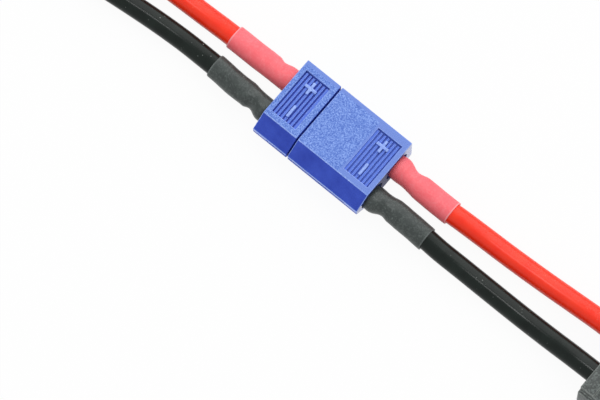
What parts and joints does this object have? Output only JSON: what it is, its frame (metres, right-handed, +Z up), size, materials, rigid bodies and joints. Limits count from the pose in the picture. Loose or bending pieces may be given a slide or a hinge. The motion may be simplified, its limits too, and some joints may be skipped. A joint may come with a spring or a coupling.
{
  "type": "battery connector",
  "caption": "Mated blue plug and socket battery connector with soldered red and black silicone leads in heat-shrink sleeves, one pair of leads ending in a black connector.",
  "frame": {"origin": "on the table under the middle of the mated pair", "axes": "+X along the mating axis from the plug to the socket, +Y to the positive pole, +Z up"},
  "size_m": [0.1564, 0.019, 0.0085],
  "materials": {
    "blue_nylon": "fine spark-eroded grain",
    "gold_plating": "gold plated, satin",
    "solder": "tinned, slightly dull",
    "copper": "fine stranded",
    "red_shrink_sleeve": "shrunk, semi-matt",
    "black_shrink_sleeve": "shrunk, semi-matt",
    "red_silicone": "smooth, dusty satin",
    "black_silicone": "smooth, dusty satin",
    "black_nylon": "fine grain"
  },
  "bodies": {
    "socket_side": {"socket_housing": "blue_nylon", "socket_pin_positive": "gold_plating", "socket_solder_positive": "solder", "socket_conductor_positive": "copper", "socket_sleeve_positive": "red_shrink_sleeve", "socket_lead_positive": "red_silicone", "end_contact_positive": "gold_plating", "end_conductor_positive": "copper", "socket_pin_negative": "gold_plating", "socket_solder_negative": "solder", "socket_conductor_negative": "copper", "socket_sleeve_negative": "black_shrink_sleeve", "socket_lead_negative": "black_silicone", "end_contact_negative": "gold_plating", "end_conductor_negative": "copper", "end_housing": "black_nylon"},
    "plug_side": {"plug_housing": "blue_nylon", "plug_contact_positive": "gold_plating", "plug_solder_positive": "solder", "plug_conductor_positive": "copper", "plug_sleeve_positive": "red_shrink_sleeve", "plug_lead_positive": "red_silicone", "tinned_end_positive": "solder", "plug_contact_negative": "gold_plating", "plug_solder_negative": "solder", "plug_conductor_negative": "copper", "plug_sleeve_negative": "black_shrink_sleeve", "plug_lead_negative": "black_silicone", "tinned_end_negative": "solder"}
  },
  "joints": [
    {"name": "unplug", "type": "slide", "parent": "socket_side", "child": "plug_side", "axis": [-1, 0, 0], "range_m": [0, 0.012]}
  ]
}
